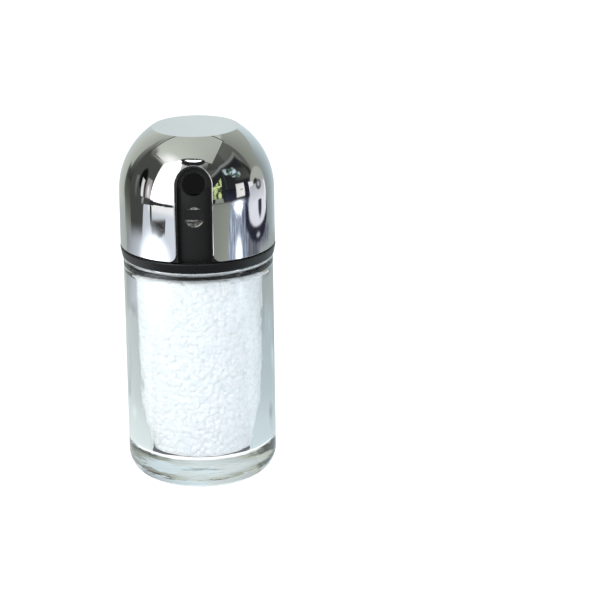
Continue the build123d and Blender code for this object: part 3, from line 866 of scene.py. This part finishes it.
# Cards that the bright metal and the glass mirror, from the farthest to the nearest, in directions seen
# from the dome: (azimuth, elevation) in degrees, where azimuth 0 is the window's side and 90 its right.
CARDS = (
    # all round
    quad("ceiling", ((-180, 35), (180, 35), (180, 90), (-180, 90)), (0.58, 0.58, 0.54, 0.54), WARM),
    quad("floor_front", ((-72, -78), (72, -78), (72, -22), (-72, -22)), (0.16, 0.16, 0.1, 0.1), COOL),
    quad("floor_left", ((-180, -78), (-72, -78), (-72, -20), (-180, -20)), (0.9, 0.85, 0.5, 0.64), AQUA),
    quad("floor_right", ((72, -78), (180, -78), (180, -20), (72, -20)), (0.75, 0.7, 0.44, 0.5), SEA),
    spot("floor_spot_1", (-158, -30), (14, 6), 0.8, AQUA),
    spot("floor_spot_2", (-128, -38), (9, 8), 0.42, AQUA),
    spot("floor_spot_3", (-112, -52), (12, 8), 0.85, AQUA),
    spot("floor_spot_4", (157, -34), (12, 8), 0.36, SEA),
    spot("floor_spot_5", (132, -30), (9, 4), 0.75, SEA),
    spot("floor_spot_6", (122, -55), (10, 9), 0.42, SEA),
    quad("front_wall", ((-44, -24), (40, -24), (40, 50), (-44, 50)), (0.5, 0.14, 0.3, 0.6)),
    # left of the window
    quad("far_wall_left", ((-180, -22), (-145, -22), (-145, 65), (-180, 65)), (0.8, 0.56, 0.56, 0.7), AQUA),
    quad("near_wall_left", ((-145, -22), (-100, -22), (-100, 62), (-145, 65)), (0.56, 0.3, 0.3, 0.56), WARM),
    quad("low_left", ((-205, -24), (-125, -24), (-125, -15), (-205, -15)), (0.55, 0.5, 0.45, 0.55), AQUA, 2),
    quad("ceiling_edge", ((-114, 38), (-58, 40), (-56, 64), (-120, 64)), (0.12, 0.3, 0.66, 0.45), WARM, 3.0),
    quad("side_low", ((-128, -20), (-98, -20), (-98, 12), (-128, 12)), (0.16, 0.08, 0.03, 0.04), WARM, 5.0),
    quad("side_high", ((-122, 0), (-98, 0), (-98, 46), (-114, 46)), (0.03, 0.02, 0.06, 0.3), WARM, 4.0),
    quad("recess", ((-110, -23), (-60, -23), (-60, 43), (-107, 41)), (0.06, 0.06, 0.07, 0.07), WARM, 2.0),
    spot("recess_arch", (-83, 13), (8, 14), 0.006, PLAIN, 0.3),
    quad("recess_cloth", ((-97, -9), (-91, -9), (-90, 14), (-99, 13)), (0.06, 0.12, 0.2, 0.18), PLAIN, 2.0),
    quad("recess_paper", ((-83.5, -6), (-78, -6), (-78, 13), (-85, 15)), (0.9, 0.9, 0.9, 0.5), PLAIN, 1.2),
    quad("recess_shelf", ((-75, -6), (-65, -6), (-65, 17), (-75, 18)), (0.4, 0.8, 0.4, 0.3), ROSE, 1.0),
    spot("recess_fold", (-70, 3), (2, 9), 0.9, PLAIN, 0.5),
    quad("window", ((-66, -7), (-29, -10), (-25, 48), (-59, 43)), 2.0, PLAIN, 0.6),
    quad("window_head", ((-60, 42), (-25, 46), (-30, 51), (-46, 52)), 2.0, PLAIN, 1.0),
    quad("counter_far", ((-84, -14), (-79, -14), (-76, -5), (-82, -7)), (0.1, 0.3, 0.5, 0.2), COOL, 1.0),
    quad("counter_low", ((-128, -23), (-70, -23), (-70, -16.5), (-120, -17)), (0.4, 1, 0.7, 0.2), COOL, 2.2),
    quad("counter", ((-90, -23), (-29, -23), (-29, -12.4), (-77, -12.8)), (0.62, 0.8, 0.75, 0.64), COOL, 0.8),
    quad("counter_strip", ((-70, -15.4), (-30, -15.4), (-30, -12.5), (-72, -12.8)), 0.95, PLAIN, 0.7),
    quad("sill", ((-68, -12.6), (-31, -12.6), (-31, -9.3), (-66, -6.5)), 0.03, PLAIN, 0.6),
    quad("counter_mark", ((-66, -17.6), (-44, -17.2), (-42, -15.4), (-64, -15.6)), 0.08, PLAIN, 0.4),
    spot("counter_blob", (-53, -16.7), (8, 0.9), 0.03, PLAIN, 0.4),
    spot("counter_post", (-66, -14.8), (2.0, 2.6), 0.03, PLAIN, 0.4),
    spot("counter_halo", (-64, -22), (36, 6.5), 0.95, COOL, 0.9),
    spot("counter_sun", (-62, -20.7), (33, 4.4), 3.2, COOL, 1.0),
    # right of the window
    quad("far_wall_right", ((130, -22), (180, -22), (180, 62), (130, 62)), (0.35, 0.8, 0.7, 0.42), AQUA),
    quad("right_wall_low", ((10, -26), (110, -26), (110, 52), (10, 52)), (0.1, 0.12, 0.12, 0.08), WARM, 10),
    quad("right_wall_left", ((20, 38), (60, 38), (60, 62), (26, 47)), (0.05, 0.07, 0.1, 0.06), WARM),
    quad("right_wall_right", ((60, 38), (97, 38), (108, 60), (60, 62)), (0.1, 0.1, 0.13, 0.13), WARM),
    quad("near_wall_right", ((93, -22), (150, -22), (150, 60), (99, 64)), (0.2, 0.4, 0.42, 0.24), WARM, 3.5),
    quad("beam_left", ((26, 28), (46, 37), (46, 41), (26, 31)), (0.2, 0.22, 0.22, 0.2), PLAIN, 0.5),
    quad("beam_right", ((45.5, 37), (90, 42), (90, 46), (45.5, 41)), (0.22, 0.22, 0.18, 0.22), PLAIN, 0.5),
    quad("frame", ((86, 20), (94, 22), (94, 46), (87, 46)), (0.12, 0.1, 0.12, 0.2), WARM, 1.0),
    quad("pane_left", ((24, -8), (46, -8), (46, 36.6), (25, 27)), 0.022, COOL, 0.4),
    quad("pane_middle", ((46, -8), (85, -8), (84, 42), (46, 37)), 0.022, COOL, 0.4),
    quad("pane_right", ((84, -8), (95, -8), (95, 20), (84, 40)), 0.03, WARM, 0.6),
    quad("pane_glow", ((60, 14), (92, 10), (90, 26), (64, 36)), (0.05, 0.09, 0.05, 0.03), WARM, 4.0),
    quad("leaves", ((24, -2), (37, -2), (41, 26), (24, 13)), (0.5, 0.75, 1.1, 0.75), LEAF, 0.6),
    quad("under_leaves", ((27, -8), (41, -8), (39, -1), (28, -1)), (0.25, 0.25, 0.3, 0.3), WARM, 1.0),
    spot("sky_1", (54, 30), (7.5, 5), 0.75, SKY, 0.5),
    spot("sky_2", (63, 27), (8, 7), 0.8, SKY, 0.4),
    spot("sky_3", (71, 22), (5, 4.5), 0.65, SKY, 0.6),
    spot("sky_wisp", (50, 33), (5, 3), 0.5, SKY, 0.8),
    quad("navy", ((41, -7), (59, -7), (58, 8), (42, 10)), (0.05, 0.04, 0.01, 0.015), INDIGO, 2.0),
    spot("round_wall", (102, 2), (18, 15.5), 0.42, WARM, 0.12),
    quad("cloth_left", ((59, -5), (74, -5), (75, 11), (60, 13)), (0.85, 1.0, 0.85, 0.75), SHELL, 1.2),
    spot("cloth_fold", (69, 4), (3.5, 1.2), 0.35, WARM, 0.7),
    quad("dark_strip", ((74, -9), (82, -9), (83, 13), (74, 11)), 0.02, INDIGO, 0.8),
    quad("cloth_right", ((82, -6), (92, -6), (91, 7), (82, 9)), (0.85, 0.95, 0.8, 0.85), PLAIN, 0.8),
    spot("dark_knob", (97, 4.5), (6, 4), 0.03, PLAIN, 0.5),
    quad("side_panel", ((121, -21), (190, -21), (158, 29), (121, 22)), (0.26, 0.85, 0.78, 0.32), SEA, 1.0),
    quad("table_left", ((21, -22), (48, -22), (54, -8), (24, -8)), (0.25, 0.35, 0.25, 0.21), WARM, 0.5),
    quad("table_right", ((43, -22), (86, -22), (84, -7), (53, -7)), (0.75, 0.45, 0.2, 0.45), SILVER, 1.5),
    quad("table_gap", ((73.5, -17.6), (78.5, -17.8), (79, -7), (73, -7)), 0.05, INDIGO, 0.8),
    spot("table_halo", (62, -12), (19, 5), 0.45, SILVER, 0.8),
    spot("table_glow", (62, -11.2), (14, 5.8), 0.9, COOL, 0.8),
    spot("table_streak", (62, -20), (7.5, 3.3), 3.5, COOL, 1.0),
    spot("star_top", (62.7, -11.6), (8, 3.4), 6.0, COOL, 1.0),
    spot("table_star", (62.7, -14.3), (9.5, 0.8), 10.0, COOL, 1.0),
    quad("table_far", ((78, -22.5), (128, -22), (128, -17.8), (78, -17.8)), (0.2, 0.3, 0.3, 0.2), COOL, 0.4),
    spot("oval_shade", (99, -16.3), (25, 3.0), 0.03, INDIGO, 0.12),
    spot("oval_fleck", (99, -18.4), (6, 0.4), 0.5, COOL, 0.8),
    quad("oval", ((79.5, -16.3), (120, -16.3), (118, 3), (84, 3)), (0.8, 0.9, 0.45, 0.5), LAVENDER, 0.4),
    spot("oval_foot", (100, -15.9), (20.5, 1.8), 0.85, LAVENDER, 0.2),
    spot("oval_stripe", (104, -15.2), (5.5, 1.9), 0.05, INDIGO, 0.5),
    quad("oval_rim", ((116, -17), (120, -16.6), (118, 0), (114, 0)), 0.95, PLAIN, 1.0),
    spot("dark_ring", (102, 0), (7, 5.5), 0.1, COOL, 0.3),
    spot("ring_inside", (102, 0.5), (3.8, 3), 0.45, COOL, 0.5),
    quad("low_right", ((100, -24), (205, -24), (205, -19), (100, -19)), (0.42, 0.42, 0.42, 0.38), AQUA, 1.5),
    # above the window
    overhead("ceiling_rim", ((-0.96, -0.6), (0.555, -0.815), (0.605, 0.165), (-1.22, 0.23)), 0.1, WARM),
    overhead(
        "ceiling_panel",
        ((-0.93, -0.6), (0.525, -0.78), (0.575, 0.133), (-1.17, 0.19)),
        (0.7, 0.4, 0.46, 0.55),
        WARM,
    ),
    spot("ceiling_corner", (-94, 42), (15, 8), 0.14, WARM, 1.0),
    spot("ceiling_lit", (-50, 47), (34, 12), 1.1, PLAIN, 1.0),
    spot("shade", (-5, 51.5), (29, 6), 0.02, PLAIN, 0.12),
    spot("tube_end", (-32, 50), (6, 2.6), 1.6, PLAIN, 0.4),
    spot("tube", (-3, 53.4), (20, 1.3), 8.0, PLAIN, 0.4),
)

# Cards whose light is broken up.
LEAFY = ("leaves", "sky_1", "sky_2", "sky_3")
STREAKED = ("table_right", "table_halo", "table_far")


def card_mesh(studio, number, name, corners, light, tint, soft, shape):
    """Patch of a sphere, or of the floor where the sphere dips under it.

    Azimuth, elevation and light are weighted between the four corners; an overhead card's corners are
    places on a ceiling one unit up instead. Along a line of sight that falls, the floor lies
    (centre's height - lift) / sin(fall) away. The card fades out near its edge by a smooth step of the way
    in, which is kept as the alpha of its light.
    """
    distance = studio.card_radius - number * studio.card_step
    lift = studio.card_lift + number * studio.card_rise
    corners = np.array(corners, float)
    side = np.linspace(0, 1, 4 * studio.card_rows + 1)
    right, up = np.meshgrid(side, np.linspace(0, 1, studio.card_rows + 1))
    weights = np.stack([(1 - right) * (1 - up), right * (1 - up), right * up, (1 - right) * up], -1)
    if shape == "overhead":
        out = unit(np.concatenate([weights @ corners, np.ones_like(right)[..., None]], -1))
    else:
        azimuth, elevation = np.moveaxis(weights @ np.radians(corners), -1, 0)
        level = np.cos(elevation)
        out = np.stack([np.sin(azimuth) * level, -np.cos(azimuth) * level, np.sin(elevation)], -1)
    fall = np.clip(-out[..., 2:], 1e-6, None)
    away = np.minimum(distance, (studio.card_centre - lift) / fall)
    points = (out * away + [0, 0, studio.card_centre]).reshape(-1, 3)
    numbers = np.arange(len(points)).reshape(right.shape)
    card = make_piece("card_" + name, points, -out.reshape(-1, 3), [grid_faces(numbers, closed=False)])
    if shape == "round":
        inside = 1 - np.hypot(2 * right - 1, 2 * up - 1)
    else:
        wide, high = np.ptp(corners[:2, 0]), np.ptp(corners[1:3, 1])
        inside = np.minimum(np.minimum(right, 1 - right) * wide, np.minimum(up, 1 - up) * high)
    mask = np.clip(inside / max(soft, 1e-3), 0, 1) if soft else np.ones_like(right)
    tone = np.ones((len(points), 4))
    tone[:, :3] = (weights @ np.array(light)).reshape(-1, 1) * np.array(tint)
    tone[:, 3] = (mask**2 * (3 - 2 * mask)).ravel()
    layer = card.data.color_attributes.new("light", "FLOAT_COLOR", "POINT")
    layer.data.foreach_set("color", tone.ravel())
    return card


def card_material(name, broken=""):
    """Light from a card, plain, broken into leaves or into upright streaks; clear where it has faded out."""
    material = bpy.data.materials.new(name)
    tree, output = emptied(material)
    given = node(tree, "ShaderNodeAttribute", {"attribute_name": "light"}).outputs
    light = given["Color"]
    place = own_place(tree)
    if broken == "leaves":
        share = remap(tree, noise(tree, place, 60.0, 3.0, 0.7), 0.42, 0.6)
        light = blend(tree, share, (0.03, 0.05, 0.02), light)
    if broken == "streaks":
        upright = mapped(tree, place, (1.0, 1.0, 0.22))
        share = remap(tree, noise(tree, upright, 260.0, 3.0, 0.7), 0.38, 0.6)
        light = blend(tree, share, blend(tree, 0.85, light, (0.03, 0.04, 0.1)), light)
    glow = node(tree, "ShaderNodeEmission", Color=light, Strength=1.0).outputs[0]
    clear = node(tree, "ShaderNodeBsdfTransparent").outputs[0]
    plug(output, Surface=node(tree, "ShaderNodeMixShader", i0=given["Alpha"], i1=clear, i2=glow).outputs[0])
    return material


def show_background(tree, output, lighting, seen):
    """Shows the seen node to the camera, mirrors and clear glass, and the lighting node to all else."""
    path = node(tree, "ShaderNodeLightPath").outputs
    mirrored = calculate(tree, "MAXIMUM", path["Is Glossy Ray"], path["Is Transmission Ray"])
    shown = calculate(tree, "MAXIMUM", path["Is Camera Ray"], mirrored)
    mixed = node(tree, "ShaderNodeMixShader", i0=shown, i1=lighting.outputs[0], i2=seen.outputs[0])
    plug(output, Surface=mixed.outputs[0])


def floor_material(studio):
    """Pale floor that is seen white, less the object's soft shadow."""
    material = bpy.data.materials.new("pale_floor")
    tree, output = emptied(material)
    matt = node(tree, "ShaderNodeBsdfDiffuse", Color=(*studio.floor, 1.0))
    faint = node(tree, "ShaderNodeBsdfDiffuse", Color=(*[studio.floor_shaded] * 3, 1.0))
    white = node(tree, "ShaderNodeEmission", Color=(1.0, 1.0, 1.0, 1.0), Strength=studio.floor_glow)
    shown = node(tree, "ShaderNodeAddShader", i0=white.outputs[0], i1=faint.outputs[0])
    show_background(tree, output, matt, shown)
    return material


def build_world(studio):
    """Even sky for light, plain white where it is seen."""
    world = bpy.data.worlds.new("studio")
    bpy.context.scene.world = world
    tree, output = emptied(world, "ShaderNodeOutputWorld")
    light = node(tree, "ShaderNodeBackground", Color=(0.97, 0.99, 1.01, 1.0), Strength=studio.sky)
    white = node(tree, "ShaderNodeBackground", Color=(1.0, 1.0, 1.0, 1.0), Strength=1.0)
    show_background(tree, output, light, white)


# Place, width and tint of the lamps; the settings of the same names hold their powers.
LAMPS = {
    "key": ((-0.75, -0.75, 0.75), 0.8, (1.0, 0.99, 0.97)),
    "fill": ((0.95, -0.55, 0.45), 0.8, (0.78, 0.9, 1.0)),
    "top": ((0.0, 0.15, 1.1), 0.9, (1.0, 1.0, 1.0)),
}


def add_lamp(name, power, place, size, tint):
    """Soft square lamp aimed at the middle of the jar, seen by neither mirror nor glass."""
    data = bpy.data.lights.new(name, "AREA")
    data.size, data.energy, data.color = size, power, tint
    lamp = bpy.data.objects.new(name, data)
    aim = Vector((0, 0, 60 * MM)) - Vector(place)
    lamp.matrix_world = Matrix.Translation(place) @ aim.to_track_quat("-Z", "Y").to_matrix().to_4x4()
    lamp.visible_glossy = lamp.visible_transmission = lamp.visible_camera = False
    bpy.context.scene.collection.objects.link(lamp)


def build_floor(studio):
    """Wide plain floor, a hair under the jar's foot so that the two never share a plane."""
    reach, count, drop = 6.0, 25, 0.03 * MM
    x, y = np.meshgrid(*[np.linspace(-reach, reach, count)] * 2)
    points = np.stack([x, y, np.full_like(x, -drop)], -1).reshape(-1, 3)
    numbers = np.arange(len(points)).reshape(count, count)
    upward = np.tile([0.0, 0.0, 1.0], (len(points), 1))
    floor = make_piece("floor", points, upward, [grid_faces(numbers, closed=False)])
    floor.data.materials.append(floor_material(studio))


def build_cards(studio):
    """Cards round the shaker that only mirrors and clear glass show."""
    looks = dict.fromkeys([card[0] for card in CARDS], card_material("card"))
    looks.update(dict.fromkeys(LEAFY, card_material("leafy_card", "leaves")))
    looks.update(dict.fromkeys(STREAKED, card_material("streaked_card", "streaks")))
    for number, card in enumerate(CARDS):
        piece = card_mesh(studio, number, *card)
        piece.data.materials.append(looks[card[0]])
        piece.visible_camera = piece.visible_diffuse = piece.visible_shadow = False


def build_camera(studio):
    """Long-lens camera that looks down on the shaker from the window's side."""
    data = bpy.data.cameras.new("camera")
    data.lens, data.sensor_width = studio.lens, 36.0
    data.clip_start, data.clip_end = 0.01, 100.0
    camera = bpy.data.objects.new("camera", data)
    bpy.context.scene.collection.objects.link(camera)
    tilt = Matrix.Rotation(pi / 2 - studio.pitch, 4, "X") @ Matrix.Rotation(studio.roll, 4, "Z")
    camera.matrix_world = Matrix.Rotation(studio.orbit, 4, "Z") @ Matrix.Translation(studio.camera) @ tilt
    bpy.context.scene.camera = camera


# ---- operators

def finish_piece(piece, material, body, slot, *nodes):
    """Gives a new piece its finish and its body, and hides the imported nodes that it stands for."""
    piece.data.materials.append(material)
    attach(piece, body)
    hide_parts(*nodes)


def dress_nodes(material, *nodes):
    """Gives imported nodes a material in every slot."""
    for name in nodes:
        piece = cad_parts[name]
        if not piece.material_slots:
            piece.data.materials.append(material)
        for slot in piece.material_slots:
            slot.material = material


class SHAKER_OT_jar(Operator):
    """Clear glass jar with its screw ridge"""

    bl_idname = "shaker.jar"
    bl_label = "Glass jar"

    def execute(self, context):
        jar = context.scene.shaker_jar
        piece = make_piece("glass_body", *jar_mesh(jar))
        finish_piece(piece, glass_material(context.scene.shaker_finishes), "jar", "glass", "glass_jar")
        return {"FINISHED"}


class SHAKER_OT_salt(Operator):
    """Coarse salt that fills the jar"""

    bl_idname = "shaker.salt"
    bl_label = "Salt"

    def execute(self, context):
        *surface, tone = salt_mesh(context.scene.shaker_salt, context.scene.shaker_jar)
        piece = make_piece("salt_grains", *surface)
        piece.data.attributes.new("crystal", "FLOAT", "POINT").data.foreach_set("value", tone)
        finish_piece(piece, salt_material(context.scene.shaker_finishes), "jar", "salt", "salt_fill")
        return {"FINISHED"}


class SHAKER_OT_dome(Operator):
    """Bright dome shell with its window"""

    bl_idname = "shaker.dome"
    bl_label = "Bright dome"

    def execute(self, context):
        piece = make_piece("bright_dome", *without_loose(*dome_mesh(context.scene.shaker_dome)))
        plating = bright_material(context.scene.shaker_finishes)
        finish_piece(piece, plating, "dome", "bright_shell", "dome_shell")
        return {"FINISHED"}


class SHAKER_OT_head(Operator):
    """Black finish of the collar, the port drum and the dome's liner"""

    bl_idname = "shaker.head"
    bl_label = "Black head"

    def execute(self, context):
        finish = context.scene.shaker_finishes
        dress_nodes(black_material(finish, "black_collar", roughness=0.27, pores=0.1 * MM), "screw_collar")
        dress_nodes(black_material(finish, "black_liner", roughness=0.3, pores=0.02 * MM), "dome_liner")
        dress_nodes(drum_material(finish, context.scene.shaker_head), "port_drum")
        dress_nodes(seal_material(finish), "neck_gasket")
        return {"FINISHED"}


class SHAKER_OT_pivot(Operator):
    """Steel finish of the screw, washer and spring under the crown"""

    bl_idname = "shaker.pivot"
    bl_label = "Pivot parts"

    def execute(self, context):
        steel = steel_material(context.scene.shaker_finishes)
        dress_nodes(steel, "pivot_screw", "pivot_washer", "cone_spring")
        return {"FINISHED"}


class SHAKER_OT_studio(Operator):
    """Floor, lamps, mirror cards and camera"""

    bl_idname = "shaker.studio"
    bl_label = "Studio"

    def execute(self, context):
        studio = context.scene.shaker_studio
        context.scene.view_settings.view_transform = "Standard"
        build_world(studio)
        build_floor(studio)
        build_cards(studio)
        build_camera(studio)
        for name, lamp in LAMPS.items():
            add_lamp(name + "_lamp", getattr(studio, name), *lamp)
        return {"FINISHED"}


STEPS = (SHAKER_OT_jar, SHAKER_OT_salt, SHAKER_OT_dome, SHAKER_OT_head, SHAKER_OT_pivot, SHAKER_OT_studio)


class SHAKER_PT_parts(Panel):
    """Lists the steps that dress the shaker"""

    bl_idname = "SHAKER_PT_parts"
    bl_label = "Salt shaker"
    bl_space_type = "VIEW_3D"
    bl_region_type = "UI"
    bl_category = "Shaker"

    def draw(self, context):
        for step in STEPS:
            self.layout.operator(step.bl_idname)


SETTINGS = {
    "shaker_jar": JarSizes,
    "shaker_salt": SaltSizes,
    "shaker_dome": DomeSizes,
    "shaker_head": HeadSizes,
    "shaker_finishes": Finishes,
    "shaker_studio": StudioSettings,
}


def register():
    for kind in (*SETTINGS.values(), *STEPS, SHAKER_PT_parts):
        bpy.utils.register_class(kind)
    for name, kind in SETTINGS.items():
        setattr(bpy.types.Scene, name, PointerProperty(type=kind))


def unregister():
    for name in SETTINGS:
        delattr(bpy.types.Scene, name)
    for kind in reversed((*SETTINGS.values(), *STEPS, SHAKER_PT_parts)):
        bpy.utils.unregister_class(kind)


def main():
    """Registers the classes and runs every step."""
    register()
    bpy.ops.shaker.jar()
    bpy.ops.shaker.salt()
    bpy.ops.shaker.dome()
    bpy.ops.shaker.head()
    bpy.ops.shaker.pivot()
    bpy.ops.shaker.studio()


if __name__ == "__main__":
    main()
